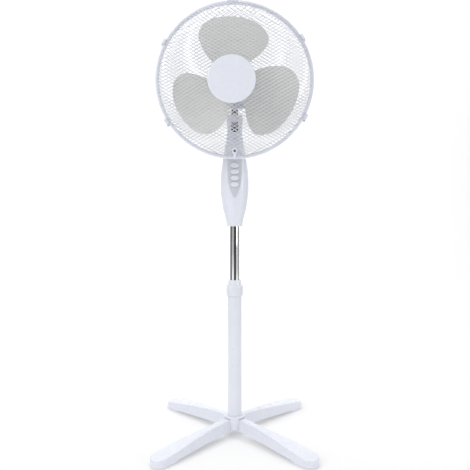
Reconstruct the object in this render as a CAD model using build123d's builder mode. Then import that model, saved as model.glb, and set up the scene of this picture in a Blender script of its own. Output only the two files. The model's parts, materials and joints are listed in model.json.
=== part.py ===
from build123d import *
import os
from math import cos, radians, sin, sqrt, tan

# Pedestal fan, millimetres. Origin on the floor under the pole, +Z up, the fan blows towards -Y.

os.makedirs("parts", exist_ok=True)

# ---------- driving dimensions ----------
RUN = 0.05  # radial clearance of a running fit
GAP = 0.4  # clearance between parts that only pass each other

# cross base
LEG_REACH = 294
LEG_TIP_HALF = 25
LEG_ROOT_HALF = 11
LEG_TIP_TOP = 20
LEG_MID = (160, 38)
BAR_TOP = 50
BAR_BOTTOM = 16
BAR_SEAT = 46
BAR_LAP = 31
LEG_WALL = 3
FOOT_START = 240
FOOT_Z = 2
PAD_R = 14
PAD_AT = 262
HUB_R = 31
HUB_TOP = 54
HUB_BOTTOM = 19

# pole and height lock
POLE_R = 20
POLE_BORE = 18.5
POLE_TOP = 396
TUBE_R = 13.5
TUBE_WALL = 1.2
TUBE_BOTTOM = 215
TUBE_TOP = 655
SPINE_FOOT = TUBE_TOP + 5
SPINE_SCREWS = ((-11, 0), (11, 0))
NECK_R = 18
COLLAR_BOTTOM = POLE_TOP + 1
COLLAR_RING_TOP = 427
COLLAR_TOP = 442
COLLAR_R = 23.9
CONE_LOW_R = 20
CONE_TOP_R = 17.9

# control housing: height, width and depth of its oval sections
HOUSING_SECTIONS = (
    (597, 46, 43),
    (615, 50, 46),
    (640, 63, 54),
    (670, 74, 61),
    (695, 79.5, 65),
    (720, 81.5, 66),
    (745, 79.5, 64.5),
    (770, 73, 60),
    (800, 64, 54),
    (845, 49, 43),
    (885, 43, 37),
    (916, 41.7, 36),
)
HOUSING_BOTTOM = HOUSING_SECTIONS[0][0]
HOUSING_TOP = HOUSING_SECTIONS[-1][0]
HOUSING_WALL = 2.4
PANEL_HALF = 20.5
PANEL_TOP = 812
PANEL_SHOULDER = 748
PANEL_BELLY = (14.5, 708)
PANEL_TIP = 673
PANEL_DEPTH = 1.2
PANEL_PROUD = 0.4
BUTTON_HEIGHTS = (770, 752, 734, 716)
BUTTON_HALF_WIDTH = 12.5
BUTTON_HALF_HEIGHT = 7.4
BUTTON_PROUD = 5
STEM_END = -4
SWITCH_FRONT = -9
SWITCH_BACK = 7
HOUSING_SCREWS = ((-25, 652), (25, 652), (-20, 806), (20, 806))
WINDOW_HALF = 9.3
WINDOW_LOW = 866
WINDOW_HIGH = 895

# tilt joint
TILT_Z = 895
KNUCKLE_HALF = 9.4
KNUCKLE_DEPTH = 7
KNUCKLE_TOP = 941
CHEEK = 2.2
PIVOT_R = 3
POST_R = 6
POST_TOP = 958
CHEEK_OUT = KNUCKLE_HALF + 0.4 + CHEEK

# oscillation: places are (x, y)
CASE_LOW = KNUCKLE_TOP + 0.5
LINK_STUD = (0, 15)
CRANK_AT = (-4, 44)
CRANK_THROW = 9
WORM_WHEEL_AT = (12, 37)
LINK_LOW = 926.4
LINK_THICK = 2
CRANK_DISC_LOW = LINK_LOW + LINK_THICK + 1.6

# fan head
AXIS_Z = 996
RIM_Y = -110
RIM_OUTER = 213
RIM_INNER = 203.5
RIM_DEPTH = 8
WIRE_R = 0.73  # corner radius of the eight-sided section that stands for a round 1.4 mm wire
WIRE_SIDES = 8
WIRE_PITCH = 8.25
WIRE_TURN = 30
MESH_R = 207
SHOULDER_R = 188
FRONT_SHOULDER = 30
FRONT_RISE = 55
REAR_SHOULDER = 39
REAR_RISE = 66
PLATE_R = 70
NOSE_R = 20
MOTOR_R = 52
MOTOR_FRONT = -38
MOTOR_BACK = 66
SHAFT_R = 4
BLADE_Y = -106
BLADE_THICK = 2.4
BLADE_TURN = 0
BLADE_HUB_R = 40
BLADE_HUB_BORE = 37.5
BADGE_R = 63
BADGE_SHIFT = (-8, -9)
BADGE_FACE = 173
BADGE_BACK = 165.5
BADGE_HOLLOW = 169.4
BACKING_LOW = 162
BADGE_PEGS = ((0, 0), (-2 * WIRE_PITCH, -2 * WIRE_PITCH * tan(radians(WIRE_TURN))))  # centres of mesh cells
# points round a blade's edge, from its root past the tip and back: across and outward
BLADE_EDGE = (
    (-30, 22),
    (-61, 47),
    (-84, 78),
    (-96, 116),
    (-80, 152),
    (-40, 171),
    (0, 175.5),
    (40, 170),
    (76, 151),
    (94, 119),
    (79, 88),
    (47, 59),
    (24, 30),
)
CLIP_ANGLES = {"upper_right": 32, "upper_left": 152, "lower_left": 212, "lower_right": -28}
CLIP_PIN = (217, -103)  # radius and Y of a latch's pin
CLIP_PIN_R = 1.2
HOOK_ANGLE = 92
LOWER_ANGLE = -90
LOWER_SCREW_R = 194
PLATE_FRONT = 46.6

FAN_AXIS = Axis((0, 0, AXIS_Z), (0, -1, 0))


# ---------- helpers ----------
def write(part, name):
    """Label a finished piece and write its file."""
    part.label = name
    export_step(part, f"parts/{name}.step")


def fan_plane(forward):
    """A plane square to the fan axis, facing the front, with its y axis up."""
    return Plane(origin=(0, -forward, AXIS_Z), x_dir=(1, 0, 0), z_dir=(0, -1, 0))


def fan_profile():
    """A half section through the fan axis: x is the radius, y runs forward."""
    return Plane(origin=(0, 0, AXIS_Z), x_dir=(1, 0, 0), z_dir=(0, 0, -1))


def ring(plane, outer, inner, length, at=(0, 0)):
    """A round tube or washer that stands on a plane."""
    with BuildPart() as part:
        with BuildSketch(plane):
            with Locations(at):
                Circle(outer)
                if inner:
                    Circle(inner, mode=Mode.SUBTRACT)
        extrude(amount=length)
    return part.part


def spread(heights, z):
    """Width and depth of the housing at a height, between its two nearest sections."""
    for (z0, w0, d0), (z1, w1, d1) in zip(heights, heights[1:]):
        if z0 <= z <= z1:
            share = (z - z0) / (z1 - z0)
            return w0 + share * (w1 - w0), d0 + share * (d1 - d0)
    raise ValueError("height outside the housing")


# ---------- cross base ----------
def leg_outline():
    """Plan of a whole bar, along its local x axis."""
    with BuildSketch() as plan:
        with BuildLine():
            root = Line((0, LEG_ROOT_HALF), (55, LEG_ROOT_HALF))
            flare = Spline(
                root @ 1,
                (LEG_REACH - LEG_TIP_HALF, LEG_TIP_HALF),
                tangents=((1, 0), (1, 0)),
            )
            tip = ThreePointArc(flare @ 1, (LEG_REACH, 0), (LEG_REACH - LEG_TIP_HALF, -LEG_TIP_HALF))
            mirror(root, about=Plane.XZ)
            mirror(flare, about=Plane.XZ)
            Line((0, LEG_ROOT_HALF), (0, -LEG_ROOT_HALF))
        make_face()
        mirror(about=Plane.YZ)
    return plan.sketch


def leg_side(drop, underside):
    """Side view of a whole bar, with its top lowered by drop and the given points along its underside."""
    with BuildSketch() as side:
        with BuildLine():
            ThreePointArc(
                (0, BAR_TOP - drop),
                (LEG_MID[0], LEG_MID[1] - drop),
                (LEG_REACH, LEG_TIP_TOP - drop),
            )
            Polyline((LEG_REACH, LEG_TIP_TOP - drop), *underside, (0, BAR_TOP - drop))
        make_face()
        mirror(about=Plane.YZ)
    return side.sketch


LEG_UNDERSIDE = (
    (LEG_REACH, FOOT_Z),
    (FOOT_START, FOOT_Z),
    (FOOT_START - 14, FOOT_Z + 5),
    (45, BAR_BOTTOM - 2),
    (HUB_R, BAR_BOTTOM),
    (0, BAR_BOTTOM),
)


def base_bar(turn, lap_low, lap_high):
    """One bar of the cross. lap_low and lap_high bound the notch that the other bar fills."""
    along = (cos(radians(turn)), sin(radians(turn)), 0)
    upright = Plane(origin=(0, 0, 0), x_dir=along, z_dir=(along[1], -along[0], 0))
    flat = Plane(origin=(0, 0, 0), x_dir=along, z_dir=(0, 0, 1))
    with BuildPart() as pocket:
        with BuildSketch(upright):
            add(leg_side(LEG_WALL, ((LEG_REACH, -5), (0, -5))))
        extrude(amount=LEG_TIP_HALF, both=True)
        with BuildSketch(flat.offset(-4)):
            with BuildLine():
                Polyline((58, 8), (228, 17.5), (228, -17.5), (58, -8), close=True)
            make_face()
            mirror(about=Plane.YZ)
        extrude(amount=BAR_TOP, mode=Mode.INTERSECT)
    with BuildPart() as bar:
        with BuildSketch(upright):
            add(leg_side(0, LEG_UNDERSIDE))
        extrude(amount=LEG_TIP_HALF + 1, both=True)
        with BuildSketch(flat):
            add(leg_outline())
        extrude(amount=BAR_TOP + 1, mode=Mode.INTERSECT)
        crown = bar.faces().filter_by(lambda face: face.normal_at().Z > 0.6)
        fillet(crown.edges().filter_by(lambda edge: edge.center().length > 60), 3.5)
        add(pocket.part, mode=Mode.SUBTRACT)
        with BuildSketch(flat.offset(lap_low)):
            Rectangle(2 * LEG_ROOT_HALF + 0.4, 60)
        extrude(amount=lap_high - lap_low, mode=Mode.SUBTRACT)
        with BuildSketch(flat.offset(BAR_SEAT)):
            Circle(HUB_R - 2.6)
        extrude(amount=20, mode=Mode.SUBTRACT)
        with BuildSketch(flat):
            Circle(4.5)
        extrude(amount=BAR_TOP, mode=Mode.SUBTRACT)
        for side in (-1, 1):
            with BuildSketch(flat):
                with Locations((side * PAD_AT, 0)):
                    Circle(PAD_R + 0.2)
            extrude(amount=FOOT_Z + 1, mode=Mode.SUBTRACT)
    return bar.part


write(base_bar(45, BAR_LAP, 80), "base_bar_lower")
write(base_bar(-45, 0, BAR_LAP), "base_bar_upper")

with BuildPart() as foot_pads:
    with BuildSketch():
        with PolarLocations(PAD_AT, 4, start_angle=45):
            Circle(PAD_R)
    extrude(amount=FOOT_Z + 1)
    fillet(foot_pads.edges().group_by(Axis.Z)[0], 0.8)
write(foot_pads.part, "foot_pads")

with BuildPart() as base_cover:
    with BuildSketch(Plane.XY.offset(HUB_BOTTOM)):
        Circle(HUB_R)
    extrude(amount=HUB_TOP - HUB_BOTTOM)
    fillet(base_cover.edges().group_by(Axis.Z)[-1], 3)
    with BuildSketch(Plane.XY.offset(HUB_BOTTOM)):
        Circle(HUB_R - 3)
    extrude(amount=BAR_TOP - HUB_BOTTOM, mode=Mode.SUBTRACT)
    with BuildSketch():
        Circle(POLE_R + 0.1)
    extrude(amount=HUB_TOP + 1, mode=Mode.SUBTRACT)
    for turn in (45, -45):
        with BuildSketch(Plane.XY.rotated((0, 0, turn))):
            Rectangle(3 * HUB_R, 2 * LEG_ROOT_HALF + 0.4)
        extrude(amount=BAR_TOP + 0.2, mode=Mode.SUBTRACT)
write(base_cover.part, "base_cover")

with BuildPart() as base_bolt:
    with BuildSketch(Plane.XY.offset(BAR_BOTTOM - 8)):
        RegularPolygon(7, 6)
    extrude(amount=6)
    with BuildSketch(Plane.XY.offset(BAR_BOTTOM - 2)):
        Circle(4)
    extrude(amount=46)
    chamfer(base_bolt.edges().group_by(Axis.Z)[-1], 0.8)
write(base_bolt.part, "base_bolt")

write(ring(Plane.XY.offset(BAR_BOTTOM - 2), 10, 4.2, 2), "base_washer")

with BuildPart() as pole_plug:
    with BuildSketch(Plane.XY.offset(BAR_SEAT)):
        Circle(POLE_BORE - RUN)
    extrude(amount=24)
    with BuildSketch(Plane.XY.offset(BAR_SEAT)):
        Circle(4 + RUN)
    extrude(amount=24, mode=Mode.SUBTRACT)
    with BuildSketch(Plane.XY.offset(BAR_SEAT + 6)):
        with PolarLocations(11.5, 6):
            Circle(3.6)
    extrude(amount=18, mode=Mode.SUBTRACT)
write(pole_plug.part, "pole_plug")

with BuildPart() as outer_pole:
    with BuildSketch(Plane.XY.offset(BAR_SEAT)):
        Circle(POLE_R)
        Circle(POLE_BORE, mode=Mode.SUBTRACT)
    extrude(amount=POLE_TOP - BAR_SEAT)
    fillet(outer_pole.edges().group_by(Axis.Z)[-1], 0.4)
write(outer_pole.part, "outer_pole")

# ---------- height lock ----------
with BuildPart() as pole_sleeve:
    with BuildSketch(Plane.XY.offset(POLE_TOP - 46)):
        Circle(POLE_BORE - RUN)
    extrude(amount=46)
    with BuildSketch(Plane.XY.offset(POLE_TOP)):
        Circle(POLE_R)
    extrude(amount=0.8)
    with BuildSketch(Plane.XY.offset(POLE_TOP)):
        Circle(NECK_R)
    extrude(amount=28)
    with BuildSketch(Plane.XY.offset(POLE_TOP - 46)):
        Circle(TUBE_R + RUN)
    extrude(amount=100, mode=Mode.SUBTRACT)
write(pole_sleeve.part, "pole_sleeve")

with BuildPart() as grip_collet:
    with BuildSketch(Plane.XZ):
        with BuildLine():
            Polyline(
                (TUBE_R + RUN, 424.3),
                (16.4, 424.3),
                (15.6, 439),
                (TUBE_R + RUN, 439),
                close=True,
            )
        make_face()
    revolve(axis=Axis.Z)
    with BuildSketch(Plane.XY.offset(427)):
        with PolarLocations(15, 4, start_angle=45):
            Rectangle(6, 1.4)
    extrude(amount=20, mode=Mode.SUBTRACT)
write(grip_collet.part, "grip_collet")

with BuildPart() as lock_collar:
    with BuildSketch(Plane.XZ):
        with BuildLine():
            Polyline(
                (NECK_R + RUN, COLLAR_BOTTOM),
                (COLLAR_R - 1.2, COLLAR_BOTTOM),
                (COLLAR_R, COLLAR_BOTTOM + 1.2),
                (COLLAR_R, COLLAR_RING_TOP - 1.5),
                (COLLAR_R - 1.5, COLLAR_RING_TOP),
                (CONE_LOW_R, COLLAR_RING_TOP + 0.6),
                (CONE_TOP_R, COLLAR_TOP - 1),
                (CONE_TOP_R - 1, COLLAR_TOP),
                (TUBE_R + GAP, COLLAR_TOP),
                (TUBE_R + GAP, COLLAR_TOP - 2.5),
                (16.1, COLLAR_TOP - 2.5),
                (17, COLLAR_RING_TOP),
                (NECK_R + RUN, COLLAR_RING_TOP - 2),
                close=True,
            )
        make_face()
    revolve(axis=Axis.Z)
    with BuildSketch(Plane.XY.offset(COLLAR_BOTTOM + 4)):
        with PolarLocations(COLLAR_R + 0.7, 24):
            Circle(1.6)
    extrude(amount=COLLAR_RING_TOP - COLLAR_BOTTOM - 8, mode=Mode.SUBTRACT)
write(lock_collar.part, "lock_collar")

# ---------- inner tube ----------
with BuildPart() as inner_tube:
    with BuildSketch(Plane.XY.offset(TUBE_BOTTOM)):
        Circle(TUBE_R)
        Circle(TUBE_R - TUBE_WALL, mode=Mode.SUBTRACT)
    extrude(amount=TUBE_TOP - TUBE_BOTTOM)
write(inner_tube.part, "inner_tube")

write(ring(Plane.XY.offset(TUBE_BOTTOM), POLE_BORE - RUN, TUBE_R, 18), "tube_guide")


# ---------- control housing ----------
def housing_body(inset, top=HOUSING_TOP, bottom=HOUSING_BOTTOM):
    """The housing's closed outer form, drawn in by inset on every side wall."""
    with BuildPart() as body:
        for z, width, depth in HOUSING_SECTIONS:
            with BuildSketch(Plane.XY.offset(z)):
                Ellipse(width / 2 - inset, depth / 2 - inset)
        loft()
        with BuildSketch(Plane.XY.offset(bottom)):
            Rectangle(200, 200)
        extrude(amount=top - bottom, mode=Mode.INTERSECT)
    return body.part


def panel_outline(grow):
    """The control panel's shape: straight sides that curve in to a rounded tip."""
    with BuildSketch() as outline:
        with BuildLine():
            Polyline((0, PANEL_TOP), (PANEL_HALF, PANEL_TOP), (PANEL_HALF, PANEL_SHOULDER))
            ThreePointArc((PANEL_HALF, PANEL_SHOULDER), PANEL_BELLY, (0, PANEL_TIP))
            mirror(about=Plane.YZ)
        make_face()
        fillet(outline.vertices().group_by(Axis.Y)[0], 5)
        fillet(outline.vertices().group_by(Axis.Y)[-1], 6)
        if grow:
            offset(amount=grow)
    return outline.sketch


outer_body = housing_body(0)
hollow_body = housing_body(HOUSING_WALL, HOUSING_TOP - 3, HOUSING_BOTTOM + 3)
panel_front = housing_body(-PANEL_PROUD)
panel_back = housing_body(PANEL_DEPTH)


def shell_half(front):
    """Front or rear half of the housing: wall, screw bosses, and the holes both halves share."""
    facing = -1 if front else 1
    with BuildPart() as half:
        add(outer_body)
        add(hollow_body, mode=Mode.SUBTRACT)
        for x, z in HOUSING_SCREWS:
            with BuildSketch(Plane.XZ):
                with Locations((x, z)):
                    Circle(4)
            extrude(amount=-facing * 60)
        add(outer_body, mode=Mode.INTERSECT)
        split(bisect_by=Plane.XZ, keep=Keep.TOP if front else Keep.BOTTOM)
        with BuildSketch(Plane.XY.offset(HOUSING_BOTTOM - 1)):
            Circle(TUBE_R + 0.1)
        extrude(amount=10, mode=Mode.SUBTRACT)
        with BuildSketch(Plane.XY.offset(HOUSING_TOP - 8)):
            with Locations((0, 0.7)):
                Rectangle(2 * KNUCKLE_HALF + 1.6, 24.6)
        extrude(amount=20, mode=Mode.SUBTRACT)
    return half.part


with BuildPart() as housing_front:
    add(shell_half(True))
    with BuildSketch(Plane.XZ):
        add(panel_outline(0))
    recess_cut = extrude(amount=60, mode=Mode.PRIVATE)
    add(recess_cut - panel_back, mode=Mode.SUBTRACT)
    for height in BUTTON_HEIGHTS:
        with BuildSketch(Plane.XZ.offset(5)):
            with Locations((0, height)):
                Ellipse(BUTTON_HALF_WIDTH + GAP, BUTTON_HALF_HEIGHT + GAP)
        extrude(amount=60, mode=Mode.SUBTRACT)
    with BuildSketch(Plane.XZ):
        with Locations((0, (WINDOW_LOW + WINDOW_HIGH) / 2)):
            RectangleRounded(2 * WINDOW_HALF, WINDOW_HIGH - WINDOW_LOW, 3)
    extrude(amount=60, mode=Mode.SUBTRACT)
    for x, z in HOUSING_SCREWS:
        with BuildSketch(Plane.XZ):
            with Locations((x, z)):
                Circle(1.5)
        extrude(amount=12, mode=Mode.SUBTRACT)
write(housing_front.part, "housing_front")

with BuildPart() as housing_rear:
    add(shell_half(False))
    for x, z in HOUSING_SCREWS:
        with BuildSketch(Plane.XZ):
            with Locations((x, z)):
                Circle(1.8)
        extrude(amount=-60, mode=Mode.SUBTRACT)
        with BuildSketch(Plane.XZ.offset(-8)):
            with Locations((x, z)):
                Circle(3.4)
        extrude(amount=-60, mode=Mode.SUBTRACT)
    with BuildSketch(Plane.XZ.offset(-15)):
        with Locations((0, 632)):
            Circle(6.5)
    extrude(amount=-30, mode=Mode.SUBTRACT)
write(housing_rear.part, "housing_rear")

with BuildPart() as control_panel:
    with BuildSketch(Plane.XZ):
        add(panel_outline(-0.1))
    extrude(amount=60)
    add(panel_front, mode=Mode.INTERSECT)
    add(panel_back, mode=Mode.SUBTRACT)
    for height in BUTTON_HEIGHTS:
        with BuildSketch(Plane.XZ):
            with Locations((0, height)):
                Ellipse(BUTTON_HALF_WIDTH + GAP, BUTTON_HALF_HEIGHT + GAP)
        extrude(amount=60, mode=Mode.SUBTRACT)
write(control_panel.part, "control_panel")


def button(height):
    """An oval cap with a stop flange behind the wall and a flat stem into the switch."""
    front = spread(HOUSING_SECTIONS, height)[1] / 2
    flange = front - HOUSING_WALL - 3.2
    with BuildPart() as key:
        with BuildSketch(Plane.XZ.offset(flange)):
            with Locations((0, height)):
                Ellipse(BUTTON_HALF_WIDTH, BUTTON_HALF_HEIGHT)
        extrude(amount=front + BUTTON_PROUD - flange)
        fillet(key.edges().group_by(Axis.Y)[0], 2.2)
        with BuildSketch(Plane.XZ.offset(flange - 1.5)):
            with Locations((0, height)):
                Ellipse(BUTTON_HALF_WIDTH + 1.2, BUTTON_HALF_HEIGHT + 1)
        extrude(amount=1.5)
        with BuildSketch(Plane.XZ.offset(-STEM_END - 4)):
            with Locations((0, height)):
                Rectangle(8, 4)
        extrude(amount=flange + STEM_END + 4)
    return key.part


for number, height in enumerate(BUTTON_HEIGHTS, start=1):
    write(button(height), f"button_{number}")

with BuildPart() as switch_body:
    with BuildSketch(Plane.XZ.offset(-SWITCH_BACK)):
        with Locations((0, (BUTTON_HEIGHTS[0] + BUTTON_HEIGHTS[-1]) / 2)):
            Rectangle(24, 84)
    extrude(amount=SWITCH_BACK - SWITCH_FRONT)
    for height in BUTTON_HEIGHTS:
        with BuildSketch(Plane.XZ.offset(-SWITCH_FRONT)):
            with Locations((0, height)):
                Rectangle(8 + 2 * GAP, 4 + 2 * GAP)
        extrude(amount=-14, mode=Mode.SUBTRACT)
write(switch_body.part, "switch_body")

with BuildPart() as housing_screws:
    for x, z in HOUSING_SCREWS:
        with BuildSketch(Plane.XZ.offset(-8)):
            with Locations((x, z)):
                Circle(3.1)
        extrude(amount=-2.2)
        with BuildSketch(Plane.XZ.offset(-8)):
            with Locations((x, z)):
                Circle(1.45)
        extrude(amount=18)
    with BuildSketch(Plane.XY.offset(SPINE_FOOT + 2.5)):
        with Locations(SPINE_SCREWS[0], SPINE_SCREWS[1]):
            Circle(3.1)
    extrude(amount=2.2)
    with BuildSketch(Plane.XY.offset(TUBE_TOP + 0.5)):
        with Locations(SPINE_SCREWS[0], SPINE_SCREWS[1]):
            Circle(1.45)
    extrude(amount=7)
write(housing_screws.part, "housing_screws")

with BuildPart() as cord_grommet:
    with BuildSketch(Plane.XZ.offset(-19)):
        with Locations((0, 632)):
            Circle(6.4)
            Circle(3.2, mode=Mode.SUBTRACT)
    extrude(amount=-8)
    with BuildSketch(Plane.XZ.offset(-27)):
        with Locations((0, 632)):
            Circle(8.5)
            Circle(3.2, mode=Mode.SUBTRACT)
    extrude(amount=-3)
    fillet(cord_grommet.edges().group_by(Axis.Y)[-1].sort_by(SortBy.RADIUS)[-1], 1.2)
write(cord_grommet.part, "cord_grommet")

with BuildPart() as run_capacitor:
    with BuildSketch(Plane.XY.offset(668)):
        with Locations((0, 18)):
            RectangleRounded(26, 12, 2)
    extrude(amount=34)
    with BuildSketch(Plane.XY.offset(664)):
        with Locations((-6, 18), (6, 18)):
            Circle(1.2)
    extrude(amount=4)
write(run_capacitor.part, "run_capacitor")

# ---------- tilt joint ----------
with BuildPart() as tube_clamp:
    with BuildSketch(Plane.XY.offset(HOUSING_BOTTOM + 6)):
        Circle(17)
        Circle(TUBE_R + RUN, mode=Mode.SUBTRACT)
    extrude(amount=TUBE_TOP - HOUSING_BOTTOM - 6)
    with BuildSketch(Plane.XY.offset(TUBE_TOP)):
        Circle(17)
    extrude(amount=5)
    with BuildSketch(Plane.XY.offset(TUBE_TOP)):
        with Locations(SPINE_SCREWS[0], SPINE_SCREWS[1]):
            Circle(1.6)
    extrude(amount=5, mode=Mode.SUBTRACT)
write(tube_clamp.part, "tube_clamp")

with BuildPart() as spine_bracket:
    with BuildSketch(Plane.XY.offset(SPINE_FOOT)):
        Circle(16)
        with Locations(SPINE_SCREWS[0], SPINE_SCREWS[1]):
            Circle(1.8, mode=Mode.SUBTRACT)
    extrude(amount=2.5)
    with BuildSketch(Plane.XZ.offset(-8)):
        with Locations((0, (SPINE_FOOT + 882) / 2)):
            Rectangle(22, 882 - SPINE_FOOT)
    extrude(amount=-3)
    for side in (-1, 1):
        with BuildSketch(Plane.YZ.offset(side * (KNUCKLE_HALF + 0.4))):
            with BuildLine():
                Polyline((11, 862), (-8, 872), (-8, 900))
                JernArc((-8, 900), (0, 1), 7, -90)
                Polyline((-1, 907), (4, 907), (8, 902), (11, 882), (11, 862))
            make_face()
            with Locations((0, TILT_Z)):
                Circle(PIVOT_R + 0.02, mode=Mode.SUBTRACT)
        extrude(amount=side * CHEEK)
    fillet(spine_bracket.edges().filter_by(Axis.X).group_by(Axis.Z)[1], 0.5)
write(spine_bracket.part, "spine_bracket")

with BuildPart() as tilt_bolt:
    with BuildSketch(Plane.YZ.offset(-CHEEK_OUT)):
        with Locations((0, TILT_Z)):
            RegularPolygon(5, 6)
    extrude(amount=-3)
    with BuildSketch(Plane.YZ.offset(-CHEEK_OUT)):
        with Locations((0, TILT_Z)):
            Circle(PIVOT_R)
    extrude(amount=2 * CHEEK_OUT + 4)
write(tilt_bolt.part, "tilt_bolt")

with BuildPart() as tilt_nut:
    with BuildSketch(Plane.YZ.offset(CHEEK_OUT)):
        with Locations((0, TILT_Z)):
            RegularPolygon(5.2, 6)
            Circle(PIVOT_R, mode=Mode.SUBTRACT)
    extrude(amount=3.5)
write(tilt_nut.part, "tilt_nut")

with BuildPart() as tilt_knuckle:
    with BuildSketch(Plane.YZ):
        with Locations((0, (TILT_Z + KNUCKLE_TOP) / 2)):
            Rectangle(2 * KNUCKLE_DEPTH, KNUCKLE_TOP - TILT_Z)
        with Locations((0, TILT_Z)):
            Circle(10)
            Circle(PIVOT_R + RUN, mode=Mode.SUBTRACT)
    extrude(amount=KNUCKLE_HALF, both=True)
    with BuildSketch(Plane.XY.offset(LINK_LOW - 2.8)):
        with Locations((0, LINK_STUD[1] / 2)):
            Rectangle(9, LINK_STUD[1])
        with Locations(LINK_STUD):
            Circle(4.5)
    extrude(amount=2.4)
    with BuildSketch(Plane.XY.offset(LINK_LOW - 0.4)):
        with Locations(LINK_STUD):
            Circle(2)
    extrude(amount=LINK_THICK + 1)
    with BuildSketch(Plane.XY.offset(KNUCKLE_TOP)):
        Circle(POST_R)
    extrude(amount=POST_TOP - KNUCKLE_TOP)
write(tilt_knuckle.part, "tilt_knuckle")

write(ring(Plane.XY.offset(KNUCKLE_TOP), 9.3, POST_R + RUN, 0.45), "swivel_washer")

# ---------- oscillation gear ----------
with BuildPart() as gear_case:
    with BuildSketch(Plane.XY.offset(CASE_LOW)):
        with Locations((2, 21)):
            RectangleRounded(48, 68, 6)
    extrude(amount=POST_TOP - CASE_LOW)
    fillet(gear_case.edges().group_by(Axis.Z)[0], 2)
    with BuildSketch(Plane.XY.offset(CASE_LOW)):
        Circle(POST_R + RUN)
        with Locations(CRANK_AT):
            Circle(3 + RUN)
    extrude(amount=30, mode=Mode.SUBTRACT)
    with BuildSketch(Plane.XY.offset(POST_TOP - 5)):
        with Locations(WORM_WHEEL_AT):
            Circle(2 + RUN)
    extrude(amount=6, mode=Mode.SUBTRACT)
write(gear_case.part, "gear_case")

with BuildPart() as worm_wheel:
    with BuildSketch(Plane.XY.offset(POST_TOP - 4.6)):
        with Locations(WORM_WHEEL_AT):
            Circle(2)
    extrude(amount=40)
    with BuildSketch(Plane.XY.offset(POST_TOP + 3)):
        with Locations(WORM_WHEEL_AT):
            Circle(3)
    extrude(amount=14)
    with BuildSketch(Plane.XY.offset(AXIS_Z - 4)):
        with Locations(WORM_WHEEL_AT):
            Circle(7.4)
    extrude(amount=8)
    for turn in range(20):
        with BuildSketch(Plane.XY.offset(AXIS_Z - 4)):
            with Locations(WORM_WHEEL_AT):
                with PolarLocations(7.4, 1, start_angle=turn * 18):
                    Rectangle(1.6, 0.9)
        extrude(amount=8, mode=Mode.SUBTRACT)
write(worm_wheel.part, "worm_wheel")

with BuildPart() as crank_gear:
    with BuildSketch(Plane.XY.offset(CRANK_DISC_LOW)):
        with Locations(CRANK_AT):
            Circle(12)
    extrude(amount=3)
    with BuildSketch(Plane.XY.offset(CRANK_DISC_LOW)):
        with Locations(CRANK_AT):
            Circle(3)
    extrude(amount=POST_TOP + 14 - CRANK_DISC_LOW)
    with BuildSketch(Plane.XY.offset(POST_TOP + 6)):
        with Locations(CRANK_AT):
            Circle(14)
    extrude(amount=6)
    with BuildSketch(Plane.XY.offset(POST_TOP + 6)):
        with Locations(CRANK_AT):
            with PolarLocations(14, 42):
                Rectangle(1.6, 0.9)
    extrude(amount=6, mode=Mode.SUBTRACT)
    with BuildSketch(Plane.XY.offset(LINK_LOW + LINK_THICK + 0.4)):
        with Locations((CRANK_AT[0] + CRANK_THROW, CRANK_AT[1])):
            Circle(2)
    extrude(amount=1.5)
write(crank_gear.part, "crank_gear")

with BuildPart() as swing_link:
    with BuildSketch(Plane.XY.offset(LINK_LOW)):
        with BuildLine():
            Line(LINK_STUD, (CRANK_AT[0] + CRANK_THROW, CRANK_AT[1]))
        trace(line_width=6)
        with Locations(LINK_STUD, (CRANK_AT[0] + CRANK_THROW, CRANK_AT[1])):
            Circle(4.5)
        with Locations(LINK_STUD, (CRANK_AT[0] + CRANK_THROW, CRANK_AT[1])):
            Circle(2 + RUN, mode=Mode.SUBTRACT)
    extrude(amount=LINK_THICK)
write(swing_link.part, "swing_link")

with BuildPart() as clutch_knob:
    with BuildSketch(Plane.XY.offset(AXIS_Z + 4.4)):
        with Locations(WORM_WHEEL_AT):
            Circle(3)
    extrude(amount=50)
    with BuildSketch(Plane.XY.offset(AXIS_Z + MOTOR_R + 1)):
        with Locations(WORM_WHEEL_AT):
            Circle(7)
    extrude(amount=16)
    fillet(clutch_knob.edges().group_by(Axis.Z)[-1], 2)
    with BuildSketch(Plane.XY.offset(AXIS_Z + MOTOR_R + 4)):
        with Locations(WORM_WHEEL_AT):
            with PolarLocations(7.6, 12):
                Circle(1.2)
    extrude(amount=14, mode=Mode.SUBTRACT)
write(clutch_knob.part, "clutch_knob")

# ---------- motor ----------
with BuildPart() as motor_bell:
    with BuildSketch(fan_plane(-MOTOR_FRONT)):
        Circle(MOTOR_R)
    extrude(amount=-18)
    fillet(motor_bell.edges().group_by(Axis.Y)[0], 5)
    with BuildSketch(fan_plane(-MOTOR_FRONT - 3)):
        Circle(MOTOR_R - 2.2)
    extrude(amount=-20, mode=Mode.SUBTRACT)
    with BuildSketch(fan_plane(-MOTOR_FRONT)):
        Circle(NOSE_R)
    extrude(amount=16)
    with BuildSketch(fan_plane(-MOTOR_FRONT - 8)):
        Circle(12)
    extrude(amount=10)
    with BuildSketch(fan_plane(-MOTOR_FRONT - 8)):
        Circle(9)
    extrude(amount=30, mode=Mode.SUBTRACT)
    with BuildSketch(fan_plane(-MOTOR_FRONT + 3)):
        Circle(17)
        Circle(12, mode=Mode.SUBTRACT)
    extrude(amount=20, mode=Mode.SUBTRACT)
    with BuildSketch(fan_plane(-MOTOR_FRONT - 5)):
        with PolarLocations(44, 4, start_angle=45):
            Circle(1.7)
    extrude(amount=10, mode=Mode.SUBTRACT)
write(motor_bell.part, "motor_bell")

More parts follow.
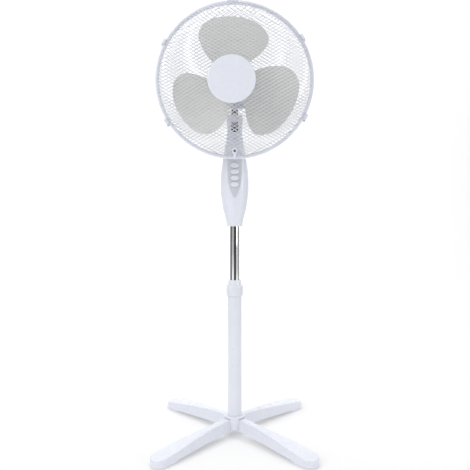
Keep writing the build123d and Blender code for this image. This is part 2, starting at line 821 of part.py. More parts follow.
with BuildPart() as motor_cover:
    with BuildSketch(fan_profile()):
        with BuildLine():
            Polyline((0, -MOTOR_BACK), (24, -MOTOR_BACK))
            ThreePointArc((24, -MOTOR_BACK), (44, -MOTOR_BACK + 9), (MOTOR_R, -36))
            Polyline((MOTOR_R, -36), (MOTOR_R, 19.8), (0, 19.8), (0, -MOTOR_BACK))
        make_face()
    revolve(axis=FAN_AXIS)
    with BuildSketch(fan_profile()):
        with BuildLine():
            Polyline((0, -MOTOR_BACK + 2.2), (23.5, -MOTOR_BACK + 2.2))
            ThreePointArc((23.5, -MOTOR_BACK + 2.2), (42.4, -MOTOR_BACK + 10.8), (MOTOR_R - 2.2, -36))
            Polyline((MOTOR_R - 2.2, -36), (MOTOR_R - 2.2, 20), (0, 20), (0, -MOTOR_BACK + 2.2))
        make_face()
    revolve(axis=FAN_AXIS, mode=Mode.SUBTRACT)
    with BuildSketch(fan_plane(-5)):
        with PolarLocations(44, 4, start_angle=45):
            Circle(6.2)
    extrude(amount=24.8)
    with BuildSketch(fan_plane(-5)):
        with PolarLocations(44, 4, start_angle=45):
            Circle(5.6)
    extrude(amount=38)
    with BuildSketch(fan_plane(-10)):
        with PolarLocations(44, 4, start_angle=45):
            Circle(1.55)
    extrude(amount=60, mode=Mode.SUBTRACT)
    with BuildSketch(Plane.XY.offset(CASE_LOW - 1)):
        with Locations((2, 21)):
            RectangleRounded(48.6, 68.6, 6.3)
    extrude(amount=22, mode=Mode.SUBTRACT)
    with BuildSketch(Plane.XY.offset(AXIS_Z + 30)):
        with Locations(WORM_WHEEL_AT):
            Circle(3 + RUN)
    extrude(amount=40, mode=Mode.SUBTRACT)
    with BuildSketch(fan_plane(-40)):
        with PolarLocations(33, 12, start_angle=15):
            SlotCenterToCenter(9, 2.6)
        with PolarLocations(17, 10):
            SlotCenterToCenter(7, 2.6)
    extrude(amount=-60, mode=Mode.SUBTRACT)
write(motor_cover.part, "motor_cover")

with BuildPart() as bell_screws:
    with BuildSketch(fan_plane(-MOTOR_FRONT)):
        with PolarLocations(44, 4, start_angle=45):
            Circle(3)
    extrude(amount=1.8)
    with BuildSketch(fan_plane(-MOTOR_FRONT)):
        with PolarLocations(44, 4, start_angle=45):
            Circle(1.5)
    extrude(amount=-16)
write(bell_screws.part, "bell_screws")

with BuildPart() as motor_end_plate:
    with BuildSketch(fan_plane(-18)):
        Circle(40)
        Circle(9, mode=Mode.SUBTRACT)
        with PolarLocations(26, 6):
            Circle(8, mode=Mode.SUBTRACT)
        with Locations((0, -42)):
            Rectangle(60, 10, mode=Mode.SUBTRACT)
    extrude(amount=-3)
    with BuildSketch(fan_plane(-17)):
        Circle(12)
        Circle(9, mode=Mode.SUBTRACT)
    extrude(amount=-7)
write(motor_end_plate.part, "motor_end_plate")

with BuildPart() as motor_stator:
    with BuildSketch(fan_plane(26)):
        Circle(36)
        Circle(23, mode=Mode.SUBTRACT)
        with PolarLocations(25.5, 16):
            Rectangle(7, 2, mode=Mode.SUBTRACT)
    extrude(amount=-36)
write(motor_stator.part, "motor_stator")

write(Compound([ring(fan_plane(26.1), 33, 25, 5.4), ring(fan_plane(-15.5), 33, 25, 5.4)]), "stator_coils")
write(
    Compound([ring(fan_plane(30.2), 9, SHAFT_R + RUN, 8), ring(fan_plane(-25.2), 9, SHAFT_R + RUN, 8)]),
    "shaft_bushes",
)

# ---------- rotor ----------
with BuildPart() as motor_shaft:
    with BuildSketch(fan_plane(-50)):
        Circle(SHAFT_R)
    extrude(amount=188)
    chamfer(motor_shaft.edges().group_by(Axis.Y)[0], 0.8)
    for turn in range(7):
        with BuildSketch(fan_plane(-32 - 1.8 * turn)):
            Circle(SHAFT_R + 1)
            Circle(SHAFT_R - 0.8, mode=Mode.SUBTRACT)
        extrude(amount=0.9, mode=Mode.SUBTRACT)
    with BuildSketch(Plane.YZ):
        with Locations((-85, AXIS_Z)):
            Circle(1.5)
    extrude(amount=10, both=True, mode=Mode.SUBTRACT)
write(motor_shaft.part, "motor_shaft")

write(ring(fan_plane(-8), 22.4, SHAFT_R, 34), "motor_rotor")

with BuildPart() as drive_pin:
    with BuildSketch(Plane.YZ):
        with Locations((-85, AXIS_Z)):
            Circle(1.5)
    extrude(amount=9, both=True)
write(drive_pin.part, "drive_pin")


def blade_section(height, half_chord, pitch, camber):
    """A thin bowed section square to a blade's length, tilted by its pitch."""
    plane = Plane(origin=(0, BLADE_Y, AXIS_Z + height), x_dir=(1, 0, 0), z_dir=(0, 0, 1))
    plane = plane.rotated((0, 0, pitch))
    half = BLADE_THICK / 2
    with BuildSketch(plane) as section:
        with BuildLine():
            front = ThreePointArc((-half_chord, -half), (0, camber - half), (half_chord, -half))
            back = ThreePointArc((-half_chord, half), (0, camber + half), (half_chord, half))
            Line(front @ 0, back @ 0)
            Line(front @ 1, back @ 1)
        make_face()
    return section.sketch


with BuildPart() as one_blade:
    add(blade_section(15, 135, 24, 12))
    add(blade_section(100, 135, 17, 14))
    add(blade_section(190, 135, 12, 12))
    loft()
    with BuildSketch(fan_plane(0)):
        with BuildLine():
            edge = Spline(*BLADE_EDGE)
            Line(edge @ 1, edge @ 0)
        make_face()
    extrude(amount=200, mode=Mode.INTERSECT)

with BuildPart() as fan_blade:
    with BuildSketch(fan_plane(-BLADE_Y - 20)):
        Circle(BLADE_HUB_R)
    extrude(amount=42)
    fillet(fan_blade.edges().group_by(Axis.Y)[0], 5)
    for turn in range(3):
        add(one_blade.part.rotate(FAN_AXIS, BLADE_TURN + 120 * turn))
    with BuildSketch(fan_plane(-BLADE_Y - 40)):
        Circle(BLADE_HUB_BORE)
        Circle(10, mode=Mode.SUBTRACT)
    extrude(amount=59.5, mode=Mode.SUBTRACT)
    with BuildSketch(fan_plane(-BLADE_Y - 20)):
        with PolarLocations(23.5, 6):
            Rectangle(29, 2)
    extrude(amount=38)
    with BuildSketch(fan_plane(0)):
        Circle(SHAFT_R + RUN)
    extrude(amount=200, mode=Mode.SUBTRACT)
    with BuildSketch(fan_plane(82)):
        Rectangle(19, 3.2)
    extrude(amount=4.6, mode=Mode.SUBTRACT)
write(fan_blade.part, "fan_blade")

with BuildPart() as blade_nut:
    with BuildSketch(fan_plane(128)):
        Circle(16)
    extrude(amount=14)
    fillet(blade_nut.edges().group_by(Axis.Y)[0], 4)
    with BuildSketch(fan_plane(130)):
        with PolarLocations(17, 12):
            Circle(2)
    extrude(amount=20, mode=Mode.SUBTRACT)
    with BuildSketch(fan_plane(128)):
        Circle(SHAFT_R + RUN)
    extrude(amount=10.2, mode=Mode.SUBTRACT)
write(blade_nut.part, "blade_nut")


# ---------- guards ----------
def rim(forward, outward, rounding):
    """A guard's plastic rim. It runs from its joint plane by RIM_DEPTH."""
    with BuildPart() as part:
        with BuildSketch(fan_plane(forward)):
            Circle(RIM_OUTER)
            Circle(RIM_INNER, mode=Mode.SUBTRACT)
        extrude(amount=outward)
        far = part.edges().group_by(Axis.Y)[0 if outward > 0 else -1]
        fillet(far, rounding)
    return part.part


def dome_wire(offset, turn, side, rim_r, shoulder_r, shoulder_h, rise, base, hole=0):
    """Path of one wire across a domed guard: a flat arc that bends down at its ends to the rim.

    offset is the wire's distance from the centre, side is 1 forward or -1 backward, and hole is the
    radius where a plate interrupts it.
    """
    bow = (shoulder_r**2 + (rise - shoulder_h) ** 2) / (2 * (rise - shoulder_h))
    c, s = cos(radians(turn)), sin(radians(turn))
    plane = Plane(
        origin=(-s * offset, RIM_Y - side * base, AXIS_Z + c * offset),
        x_dir=(c, 0, s),
        z_dir=Vector(c, 0, s).cross(Vector(0, -side, 0)),
    )
    end = sqrt(rim_r**2 - offset**2)

    def height(along):
        return rise - bow + sqrt(bow**2 - offset**2 - along**2)

    paths = []
    if abs(offset) >= shoulder_r - 2:
        peak = shoulder_h * (rim_r - abs(offset)) / (rim_r - shoulder_r)
        with BuildLine(plane) as path:
            ThreePointArc((-end, 0), (0, max(peak, 3)), (end, 0))
        return [path.wires()[0]]
    knee = sqrt(shoulder_r**2 - offset**2)
    slope = knee / (height(knee) + bow - rise)
    if abs(offset) >= hole:
        with BuildLine(plane) as path:
            ThreePointArc((-knee, height(knee)), (0, height(0)), (knee, height(knee)))
            for way in (-1, 1):
                bend = plane.x_dir * way - plane.y_dir * slope
                TangentArc((way * knee, height(knee)), (way * end, 0), tangent=bend)
        return [path.wires()[0]]
    near = sqrt(hole**2 - offset**2)
    middle = (near + knee) / 2
    for way in (-1, 1):
        with BuildLine(plane) as path:
            ThreePointArc(
                (way * near, height(near)),
                (way * middle, height(middle)),
                (way * knee, height(knee)),
            )
            bend = plane.x_dir * way - plane.y_dir * slope
            TangentArc((way * knee, height(knee)), (way * end, 0), tangent=bend)
        paths.append(path.wires()[0])
    return paths


def guard_mesh(side, shoulder_h, rise, hole=0):
    """Two families of parallel wires that cross at equal angles, the second just inside the first."""
    wires = []
    count = int(MESH_R / WIRE_PITCH + 0.5)
    for family, turn in enumerate((WIRE_TURN, -WIRE_TURN)):
        inside = family * 1.3
        for number in range(-count, count):
            offset = (number + 0.5) * WIRE_PITCH
            if abs(offset) > MESH_R - 6:
                continue
            for path in dome_wire(
                offset, turn, side, MESH_R - inside, SHOULDER_R - inside / 2,
                shoulder_h - inside, rise - inside, 3, hole,
            ):
                start = Plane(origin=path @ 0, z_dir=path % 0)
                with BuildPart() as wire:
                    with BuildSketch(start):
                        RegularPolygon(WIRE_R, WIRE_SIDES)
                    sweep(path=path)
                wires.append(wire.part.solid())
    return Compound(wires)


write(guard_mesh(1, FRONT_SHOULDER, FRONT_RISE), "front_guard_mesh")
write(guard_mesh(-1, REAR_SHOULDER, REAR_RISE, PLATE_R - 3), "rear_guard_mesh")


def radial_plane(angle, across=0):
    """A plane through the fan axis at an angle round it: x is the radius, y is the model's Y."""
    out = Vector(cos(radians(angle)), 0, sin(radians(angle)))
    normal = out.cross(Vector(0, 1, 0))
    return Plane(origin=Vector(0, 0, AXIS_Z) + normal * across, x_dir=out, z_dir=normal)


with BuildPart() as front_guard_rim:
    add(rim(-RIM_Y + 0.2, RIM_DEPTH, 3))
    with BuildSketch(radial_plane(HOOK_ANGLE)):
        with BuildLine():
            Polyline(
                (207, -119.5),
                (216, -122),
                (221, -118),
                (221, -99),
                (212, -97),
                (212, -100.8),
                (216.5, -101.5),
                (216.5, -114),
                (207, -114),
                close=True,
            )
        make_face()
    extrude(amount=13, both=True)
    with BuildSketch(radial_plane(LOWER_ANGLE)):
        with BuildLine():
            Polyline(
                (209, -111),
                (212.5, -111),
                (212.5, -121),
                (206, -136),
                (200, -149),
                (188, -150.5),
                (188, -147),
                (196, -145),
                (203, -131.5),
                (209, -119),
                close=True,
            )
        make_face()
    extrude(amount=3, both=True)
    lower = radial_plane(LOWER_ANGLE).x_dir * LOWER_SCREW_R
    with BuildSketch(fan_plane(145.5)):
        with Locations((lower.X, lower.Z)):
            Circle(7.4)
    extrude(amount=7)
    fillet(front_guard_rim.edges().filter_by(GeomType.CIRCLE).sort_by(Axis.Y)[0], 1.5)
    with BuildSketch(fan_plane(146.5)):
        with Locations((lower.X, lower.Z)):
            Circle(1.6)
    extrude(amount=10, mode=Mode.SUBTRACT)
write(front_guard_rim.part, "front_guard_rim")

with BuildPart() as rear_guard_rim:
    add(rim(-RIM_Y - 0.2, -RIM_DEPTH, 2.5))
    for angle in CLIP_ANGLES.values():
        for way in (-1, 1):
            with BuildSketch(radial_plane(angle, way * 8.4)):
                with Locations((215, -103)):
                    Rectangle(9, 6)
            extrude(amount=way * 2.6)
        with BuildSketch(radial_plane(angle, -10)):
            with Locations(CLIP_PIN):
                Circle(CLIP_PIN_R)
        extrude(amount=20)
write(rear_guard_rim.part, "rear_guard_rim")


def guard_clip(angle):
    """A latch that turns on the rear rim's pin and hooks over the front rim."""
    with BuildPart() as clip:
        with BuildSketch(radial_plane(angle)):
            with BuildLine():
                Polyline(
                    (214, -103),
                    (214, -118.5),
                    (209, -118.5),
                    (209, -120),
                    (210.5, -121),
                    (216.5, -121),
                    (218, -119),
                    (219, -108),
                    (220, -103),
                    close=True,
                )
            make_face()
            with Locations(CLIP_PIN):
                Circle(3)
                Circle(CLIP_PIN_R + RUN, mode=Mode.SUBTRACT)
        extrude(amount=8, both=True)
        front = clip.edges().filter_by(lambda e: e.geom_type == GeomType.LINE).group_by(Axis.Y)[0]
        fillet(front, 0.6)
    return clip.part


for place, angle in CLIP_ANGLES.items():
    write(guard_clip(angle), f"guard_clip_{place}")

with BuildPart() as rear_guard_plate:
    with BuildSketch(fan_plane(PLATE_FRONT)):
        Circle(PLATE_R)
        Circle(PLATE_R - 6, mode=Mode.SUBTRACT)
    extrude(amount=-5)
    fillet(rear_guard_plate.edges().sort_by(Axis.Y)[0], 1.2)
    with BuildSketch(fan_plane(PLATE_FRONT - 2.6)):
        Circle(PLATE_R - 5)
        Circle(NOSE_R + GAP, mode=Mode.SUBTRACT)
        with PolarLocations(50, 12):
            Circle(7, mode=Mode.SUBTRACT)
    extrude(amount=-2.4)
write(rear_guard_plate.part, "rear_guard_plate")

with BuildPart() as guard_nut:
    with BuildSketch(fan_plane(44.1)):
        Circle(32)
        Circle(NOSE_R + RUN, mode=Mode.SUBTRACT)
    extrude(amount=9)
    fillet(guard_nut.edges().group_by(Axis.Y)[0].sort_by(SortBy.RADIUS)[-1], 2)
    with BuildSketch(fan_plane(46.5)):
        with PolarLocations(33.5, 8):
            Circle(4)
    extrude(amount=9, mode=Mode.SUBTRACT)
write(guard_nut.part, "guard_nut")

# ---------- badge ----------
badge_centre = (BADGE_SHIFT[0], 0, AXIS_Z + BADGE_SHIFT[1])
with BuildPart() as badge:
    with BuildSketch(Plane(origin=badge_centre, x_dir=(1, 0, 0), z_dir=(0, 0, -1))):
        with BuildLine():
            Line((0, BADGE_HOLLOW), (0, BADGE_FACE))
            ThreePointArc((0, BADGE_FACE), (30, BADGE_FACE - 0.2), (BADGE_R - 3, BADGE_FACE - 0.8))
            ThreePointArc(
                (BADGE_R - 3, BADGE_FACE - 0.8),
                (BADGE_R - 0.8, BADGE_FACE - 2),
                (BADGE_R, BADGE_FACE - 4),
            )
            Polyline(
                (BADGE_R, BADGE_FACE - 4),
                (BADGE_R, BADGE_BACK),
                (BADGE_R - 2, BADGE_BACK),
                (BADGE_R - 2, BADGE_HOLLOW),
                (0, BADGE_HOLLOW),
            )
        make_face()
    revolve(axis=Axis(badge_centre, (0, -1, 0)))
write(badge.part, "badge")

with BuildPart() as badge_backing:
    with BuildSketch(fan_plane(BACKING_LOW)):
        with Locations(BADGE_SHIFT):
            Circle(28)
    extrude(amount=3)
    with BuildSketch(fan_plane(BACKING_LOW)):
        with Locations(*BADGE_PEGS):
            Circle(2)
    extrude(amount=BADGE_HOLLOW - BACKING_LOW)
write(badge_backing.part, "badge_backing")

with BuildPart() as clip_screw:
    with BuildSketch(fan_plane(152.5)):
        with Locations((lower.X, lower.Z)):
            Circle(3.4)
    extrude(amount=1.6)
    with BuildSketch(fan_plane(147)):
        with Locations((lower.X, lower.Z)):
            Circle(1.5)
    extrude(amount=6)
write(clip_screw.part, "clip_screw")
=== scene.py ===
"""Pedestal fan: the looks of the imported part, its studio and its camera. Metres, in the CAD's frame."""

import json
from math import cos, pi, radians, sin

import bmesh
import bpy
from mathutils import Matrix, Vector

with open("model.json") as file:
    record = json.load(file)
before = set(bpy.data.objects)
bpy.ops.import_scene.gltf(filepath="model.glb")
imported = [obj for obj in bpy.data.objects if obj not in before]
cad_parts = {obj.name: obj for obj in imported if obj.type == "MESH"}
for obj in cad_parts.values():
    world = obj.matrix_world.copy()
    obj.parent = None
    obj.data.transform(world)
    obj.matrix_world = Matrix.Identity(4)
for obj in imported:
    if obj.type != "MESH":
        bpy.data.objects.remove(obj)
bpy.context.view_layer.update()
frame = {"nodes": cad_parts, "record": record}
nodes = frame["nodes"]
scene = bpy.context.scene

MM = 0.001


# ---------- materials ----------
class Look:
    """One procedural material. Its textures are laid out in metres of the piece's own space."""

    def __init__(self, name, **sockets):
        self.material = bpy.data.materials.new(name)
        self.material.use_nodes = True
        self.nodes = self.material.node_tree.nodes
        self.links = self.material.node_tree.links
        self.shader = self.nodes["Principled BSDF"]
        for socket, value in sockets.items():
            self.shader.inputs[socket.replace("_", " ")].default_value = value
        self.place = self.add("ShaderNodeTexCoord").outputs["Object"]
        self.normal = None

    def add(self, kind, settings=None, inputs=None):
        """A new node. An input that is a socket is linked, and any other is set."""
        node = self.nodes.new(kind)
        for name, value in (settings or {}).items():
            setattr(node, name, value)
        for name, value in (inputs or {}).items():
            if isinstance(value, bpy.types.NodeSocket):
                self.links.new(value, node.inputs[name])
            else:
                node.inputs[name].default_value = value
        return node

    def stretched(self, stretch):
        """The place scaled along each axis, so that a texture runs long or short there."""
        return self.add("ShaderNodeMapping", None, {"Vector": self.place, "Scale": stretch}).outputs[0]

    def noise(self, scale, detail=3.0, rough=0.55, bend=0.0, stretch=None):
        """A value near a half that wanders over 1/scale of a metre."""
        place = self.stretched(stretch) if stretch else self.place
        wanted = {"Vector": place, "Scale": scale, "Detail": detail, "Roughness": rough, "Distortion": bend}
        return self.add("ShaderNodeTexNoise", None, wanted).outputs[0]

    def cells(self, scale):
        """The distance to the nearest of many scattered points, 1/scale of a metre apart."""
        return self.add("ShaderNodeTexVoronoi", None, {"Vector": self.place, "Scale": scale}).outputs[0]

    def bands(self, scale, direction, bend):
        """Parallel ridges across a direction."""
        settings = {"wave_type": "BANDS", "bands_direction": direction}
        wanted = {"Vector": self.place, "Scale": scale, "Distortion": bend, "Detail": 1.0}
        return self.add("ShaderNodeTexWave", settings, wanted).outputs[1]

    def between(self, value, low, high, start=0.3, end=0.7):
        """Maps start..end of a value on low..high, and stops there."""
        wanted = {"Value": value, "From Min": start, "From Max": end, "To Min": low, "To Max": high}
        return self.add("ShaderNodeMapRange", {"clamp": True}, wanted).outputs[0]

    def sum(self, first, second, how="ADD"):
        """Two values added, or combined in another way. The second may be a number."""
        node = self.add("ShaderNodeMath", {"operation": how})
        self.links.new(first, node.inputs[0])
        if isinstance(second, bpy.types.NodeSocket):
            self.links.new(second, node.inputs[1])
        else:
            node.inputs[1].default_value = second
        return node.outputs[0]

    def mixed(self, factor, first, second):
        """A colour between two, each a triple or a socket."""
        node = self.add("ShaderNodeMix", {"data_type": "RGBA"})
        self.links.new(factor, node.inputs[0])
        for socket, colour in ((node.inputs[6], first), (node.inputs[7], second)):
            if isinstance(colour, bpy.types.NodeSocket):
                self.links.new(colour, socket)
            else:
                socket.default_value = (*colour, 1.0)
        return node.outputs[2]

    def bump(self, height, depth, strength=1.0):
        """Adds relief of that depth in metres to the surface."""
        wanted = {"Height": height, "Distance": depth, "Strength": strength}
        if self.normal:
            wanted["Normal"] = self.normal
        self.normal = self.add("ShaderNodeBump", None, wanted).outputs[0]

    def done(self, colour, roughness):
        """Links the colour, the gloss and the relief to the shader."""
        self.links.new(colour, self.shader.inputs["Base Color"])
        self.links.new(roughness, self.shader.inputs["Roughness"])
        if self.normal:
            self.links.new(self.normal, self.shader.inputs["Normal"])
        return self.material


def moulded(name, light, dark, smooth, rough, peel=0.012 * MM, grain=0.0, **sockets):
    """Injection-moulded plastic: faint flow marks, orange peel or grain, and handling marks in the gloss."""
    look = Look(name, **sockets)
    flow = look.noise(7.0, 2.0, 0.5, 0.8, stretch=(1, 1, 0.45))
    speck = look.noise(900.0, 2.0)
    tone = look.sum(look.sum(flow, 0.75, "MULTIPLY"), look.sum(speck, 0.25, "MULTIPLY"))
    colour = look.mixed(look.between(tone, 0.0, 1.0, 0.36, 0.64), light, dark)
    touched = look.between(look.noise(38.0, 5.0, 0.62, 0.6), 0.0, 0.09, 0.5, 0.72)
    wear = look.between(look.noise(600.0, 2.0, 0.5, stretch=(1, 1, 0.12)), 0.0, 0.05, 0.55, 0.7)
    gloss = look.sum(look.between(speck, smooth, rough), look.sum(touched, wear))
    look.bump(look.noise(24.0, 1.0), 0.10 * MM, 0.5)
    look.bump(look.noise(430.0, 2.0), peel)
    if grain:
        look.bump(look.cells(1500.0), grain)
        look.bump(look.noise(2600.0, 2.0), grain * 0.6)
    return look.done(colour, gloss)


def coated(name, light, dark, smooth, rough):
    """Powder coat or dipped coat on metal: orange peel, tiny pits and a slightly uneven gloss."""
    look = Look(name, Coat_Weight=0.25, Coat_Roughness=0.12, Specular_IOR_Level=0.55)
    drift = look.noise(11.0, 3.0, 0.5, 0.4)
    colour = look.mixed(look.between(drift, 0.0, 1.0), light, dark)
    pits = look.cells(900.0)
    patchy = look.between(look.noise(60.0, 4.0), smooth, rough)
    gloss = look.sum(patchy, look.between(pits, 0.05, 0.0, 0.0, 0.2))
    look.bump(look.noise(520.0, 3.0), 0.03 * MM)
    look.bump(look.between(pits, 0.0, 1.0, 0.0, 0.12), 0.01 * MM)
    return look.done(colour, gloss)


def chrome():
    """Bright plate drawn along the tube: hair-fine polishing lines, faint haze and finger marks."""
    look = Look("chrome_plate", Metallic=1.0, Coat_Weight=0.3, Coat_Roughness=0.03)
    haze = look.noise(26.0, 5.0, 0.6, 0.7)
    lines = look.noise(1500.0, 3.0, 0.6, stretch=(1, 1, 0.015))
    colour = look.mixed(look.between(haze, 0.0, 1.0), (0.86, 0.865, 0.88), (0.76, 0.765, 0.79))
    marks = look.between(look.noise(70.0, 5.0, 0.65, 1.2), 0.0, 0.10, 0.56, 0.74)
    gloss = look.sum(look.between(lines, 0.035, 0.085), marks)
    look.bump(lines, 0.004 * MM)
    look.bump(look.noise(14.0, 1.0, stretch=(1, 1, 0.2)), 0.03 * MM, 0.4)
    return look.done(colour, gloss)


def metal(name, light, dark, smooth, rough, along, fine=900.0, pit=0.0):
    """Bare or plated metal with a tool direction, small pits and patchy gloss."""
    look = Look(name, Metallic=1.0)
    lay = look.noise(fine, 4.0, 0.6, stretch=along)
    patch = look.noise(45.0, 4.0, 0.6, 0.5)
    tone = look.sum(look.sum(lay, 0.5, "MULTIPLY"), look.sum(patch, 0.5, "MULTIPLY"))
    colour = look.mixed(look.between(tone, 0.0, 1.0, 0.38, 0.62), light, dark)
    gloss = look.sum(look.between(lay, smooth, rough), look.between(patch, 0.0, 0.08))
    look.bump(lay, 0.008 * MM)
    if pit:
        look.bump(look.cells(700.0), pit)
        look.bump(look.noise(1300.0, 3.0), pit * 0.5)
    return look.done(colour, gloss)


def striped(name, light, dark, smooth, rough, pitch, direction, depth, **sockets):
    """Stacked sheet or wound wire: fine parallel ridges that a little noise makes uneven."""
    look = Look(name, **sockets)
    ridges = look.bands(pi / (pitch * 10), direction, 0.4)
    patch = look.noise(80.0, 4.0, 0.6)
    shade = look.sum(look.sum(ridges, 0.6, "MULTIPLY"), look.sum(patch, 0.4, "MULTIPLY"))
    colour = look.mixed(look.between(shade, 1.0, 0.0, 0.25, 0.7), light, dark)
    look.bump(ridges, depth)
    look.bump(look.noise(1200.0, 2.0), 0.01 * MM)
    return look.done(colour, look.between(patch, smooth, rough))


def rubber():
    """Matt black rubber with a dusty bloom and a fine sand texture."""
    look = Look("soft_rubber", Specular_IOR_Level=0.35, Sheen_Weight=0.12)
    bloom = look.noise(55.0, 5.0, 0.65, 0.3)
    colour = look.mixed(look.between(bloom, 0.0, 1.0), (0.018, 0.018, 0.019), (0.055, 0.054, 0.053))
    grain = look.noise(1100.0, 4.0, 0.7)
    look.bump(grain, 0.06 * MM)
    look.bump(look.cells(500.0), 0.02 * MM)
    return look.done(colour, look.between(bloom, 0.62, 0.85))


def blade_plastic():
    """Thin grey moulding that lets a little light through, with flow lines that run out from the hub."""
    look = Look(
        "blade_plastic",
        Specular_IOR_Level=0.5,
        Subsurface_Weight=0.22,
        Subsurface_Radius=(0.004, 0.004, 0.0035),
        Subsurface_Scale=1.0,
        Coat_Weight=0.12,
        Coat_Roughness=0.2,
    )
    flow = look.noise(16.0, 4.0, 0.55, 1.4, stretch=(1, 0.4, 1))
    speck = look.noise(1400.0, 2.0)
    tone = look.sum(look.sum(flow, 0.7, "MULTIPLY"), look.sum(speck, 0.3, "MULTIPLY"))
    colour = look.mixed(look.between(tone, 0.0, 1.0, 0.36, 0.64), BLADE_LIGHT, BLADE_DARK)
    gloss = look.sum(look.between(flow, 0.30, 0.42), look.between(speck, 0.0, 0.06))
    look.bump(flow, 0.08 * MM, 0.6)
    look.bump(look.noise(380.0, 2.0), 0.012 * MM)
    return look.done(colour, gloss)


WHITE_LIGHT = (0.770, 0.795, 0.868)
WHITE_DARK = (0.735, 0.760, 0.842)
BLADE_LIGHT = (0.690, 0.690, 0.650)
BLADE_DARK = (0.640, 0.640, 0.602)

LOOKS = {
    "white_plastic": moulded(
        "white_plastic", WHITE_LIGHT, WHITE_DARK, 0.20, 0.30, Coat_Weight=0.2, Coat_Roughness=0.08
    ),
    "inner_plastic": moulded(
        "inner_plastic", (0.70, 0.70, 0.67), (0.64, 0.64, 0.61), 0.42, 0.55, grain=0.03 * MM
    ),
    "panel_grey": moulded(
        "panel_grey", (0.610, 0.625, 0.670), (0.560, 0.575, 0.620), 0.40, 0.52, grain=0.05 * MM
    ),
    "dark_plastic": moulded(
        "dark_plastic", (0.024, 0.024, 0.026), (0.014, 0.014, 0.016), 0.40, 0.55, grain=0.04 * MM
    ),
    "blade_grey": blade_plastic(),
    "rubber": rubber(),
    "painted_tube": coated("painted_tube", (0.765, 0.790, 0.860), (0.735, 0.760, 0.835), 0.26, 0.38),
    "painted_wire": coated("painted_wire", (0.720, 0.735, 0.790), (0.670, 0.685, 0.745), 0.30, 0.42),
    "black_steel": coated("black_steel", (0.022, 0.022, 0.024), (0.012, 0.012, 0.013), 0.35, 0.50),
    "chrome_tube": chrome(),
    "steel": metal("zinc_steel", (0.62, 0.62, 0.63), (0.46, 0.46, 0.48), 0.25, 0.42, (1, 0.1, 1)),
    "laminated_steel": striped(
        "laminated_steel",
        (0.36, 0.36, 0.37),
        (0.16, 0.16, 0.17),
        0.35,
        0.5,
        pitch=0.5 * MM,
        direction="Y",
        depth=0.1 * MM,
        Metallic=1.0,
    ),
    "copper": striped(
        "varnished_copper",
        (0.62, 0.29, 0.13),
        (0.33, 0.12, 0.05),
        0.22,
        0.35,
        pitch=0.6 * MM,
        direction="Y",
        depth=0.2 * MM,
        Metallic=1.0,
    ),
    "cast_alloy": metal(
        "cast_alloy",
        (0.60, 0.60, 0.61),
        (0.47, 0.47, 0.48),
        0.42,
        0.6,
        along=(1, 1, 1),
        fine=500.0,
        pit=0.06 * MM,
    ),
}

slot_of = {row["node"]: row["material_slot"] for row in frame["record"]["subparts"]}
for name, piece in nodes.items():
    piece.data.materials.clear()
    piece.data.materials.append(LOOKS[slot_of[name]])


# ---------- studio ----------
FLOOR_FRONT = -4.0
BEND_STEPS = 12
QUARTER_TURN = radians(90)


def sweep(name, half, back, rise, turn):
    """A floor that curves up into a backdrop."""
    made = bpy.data.meshes.new(name)
    form = bmesh.new()
    profile = [(FLOOR_FRONT, 0.0), (back - turn, 0.0)]
    for step in range(1, BEND_STEPS + 1):
        angle = QUARTER_TURN * step / BEND_STEPS
        profile.append((back - turn + turn * sin(angle), turn - turn * cos(angle)))
    profile.append((back, rise))
    left = [form.verts.new((-half, y, z)) for y, z in profile]
    right = [form.verts.new((half, y, z)) for y, z in profile]
    for i in range(len(profile) - 1):
        form.faces.new((left[i], right[i], right[i + 1], left[i + 1]))
    form.to_mesh(made)
    form.free()
    for face in made.polygons:
        face.use_smooth = True
    piece = bpy.data.objects.new(name, made)
    scene.collection.objects.link(piece)
    return piece


def light(name, place, aim, size, power):
    """A soft rectangular lamp that the camera doesn't see."""
    lamp = bpy.data.lights.new(name, "AREA")
    lamp.shape = "RECTANGLE"
    lamp.size, lamp.size_y = size
    lamp.energy = power
    piece = bpy.data.objects.new(name, lamp)
    piece.location = place
    piece.rotation_mode = "QUATERNION"
    piece.rotation_quaternion = (Vector(aim) - Vector(place)).to_track_quat("-Z", "Y")
    scene.collection.objects.link(piece)
    piece.visible_camera = False
    return piece


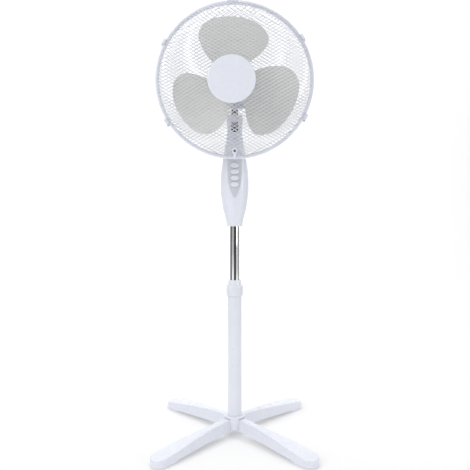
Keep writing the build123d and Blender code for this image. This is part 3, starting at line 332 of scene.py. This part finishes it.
def card(name, start, end, height, shade):
    """A standing card, from one place on the floor to another, that only shows in reflections."""
    made = bpy.data.meshes.new(name)
    corners = [(*start, 0.0), (*end, 0.0), (*end, height), (*start, height)]
    made.from_pydata(corners, [], [(0, 1, 2, 3)])
    look = Look(name)
    felt = look.noise(20.0)
    look.done(look.mixed(felt, (shade,) * 3, (shade * 0.8,) * 3), look.between(felt, 0.9, 1.0))
    made.materials.append(look.material)
    piece = bpy.data.objects.new(name, made)
    scene.collection.objects.link(piece)
    piece.visible_camera = False
    piece.visible_diffuse = False
    piece.visible_shadow = False
    return piece


floor = sweep("studio_floor", half=6.0, back=2.6, rise=5.0, turn=1.2)
paper = Look("studio_paper", Emission_Color=(1, 1, 1, 1), Emission_Strength=0.27, Specular_IOR_Level=0.1)
fibre = paper.noise(300.0, 3.0)
paper.done(
    paper.mixed(paper.between(fibre, 0.0, 1.0), (0.645, 0.645, 0.645), (0.63, 0.63, 0.63)),
    paper.between(fibre, 0.85, 0.95),
)
floor.data.materials.append(paper.material)
card("card_behind_camera", (-0.45, -1.75), (1.0, -1.6), height=1.6, shade=0.004)
card("card_left", (-1.25, -0.33), (-0.92, 0.92), height=1.8, shade=0.10)
card("card_right", (1.3, 0.11), (1.1, 0.69), height=1.8, shade=0.05)

world = bpy.data.worlds.new("studio_air")
world.use_nodes = True
world.node_tree.nodes["Background"].inputs[0].default_value = (1.0, 1.0, 1.0, 1.0)
world.node_tree.nodes["Background"].inputs[1].default_value = 0.48
scene.world = world
light("key_left", (-2.3, -2.1, 2.3), aim=(0.0, 0.0, 0.7), size=(1.6, 2.2), power=53)
light("fill_right", (2.4, -1.7, 1.4), aim=(0.0, 0.0, 0.6), size=(1.2, 2.4), power=24)
light("top", (0.0, 0.3, 3.2), aim=(0.0, 0.0, 0.4), size=(2.4, 2.0), power=9)
light("backdrop_light", (0.0, 0.9, 3.0), aim=(0.0, 2.4, 0.9), size=(4.0, 0.8), power=48)

camera = bpy.data.objects.new("camera", bpy.data.cameras.new("camera"))
camera.location = (0.0, -1.6, 0.6918)
camera.rotation_euler = (QUARTER_TURN, 0.0, 0.0)
camera.data.sensor_width = 36.0
camera.data.lens = 42.47
camera.data.shift_x = 0.0007
camera.data.shift_y = -0.0893
scene.collection.objects.link(camera)
scene.camera = camera
scene.view_settings.view_transform = "Standard"

# ---------- update the view layer ---
bpy.context.view_layer.update()
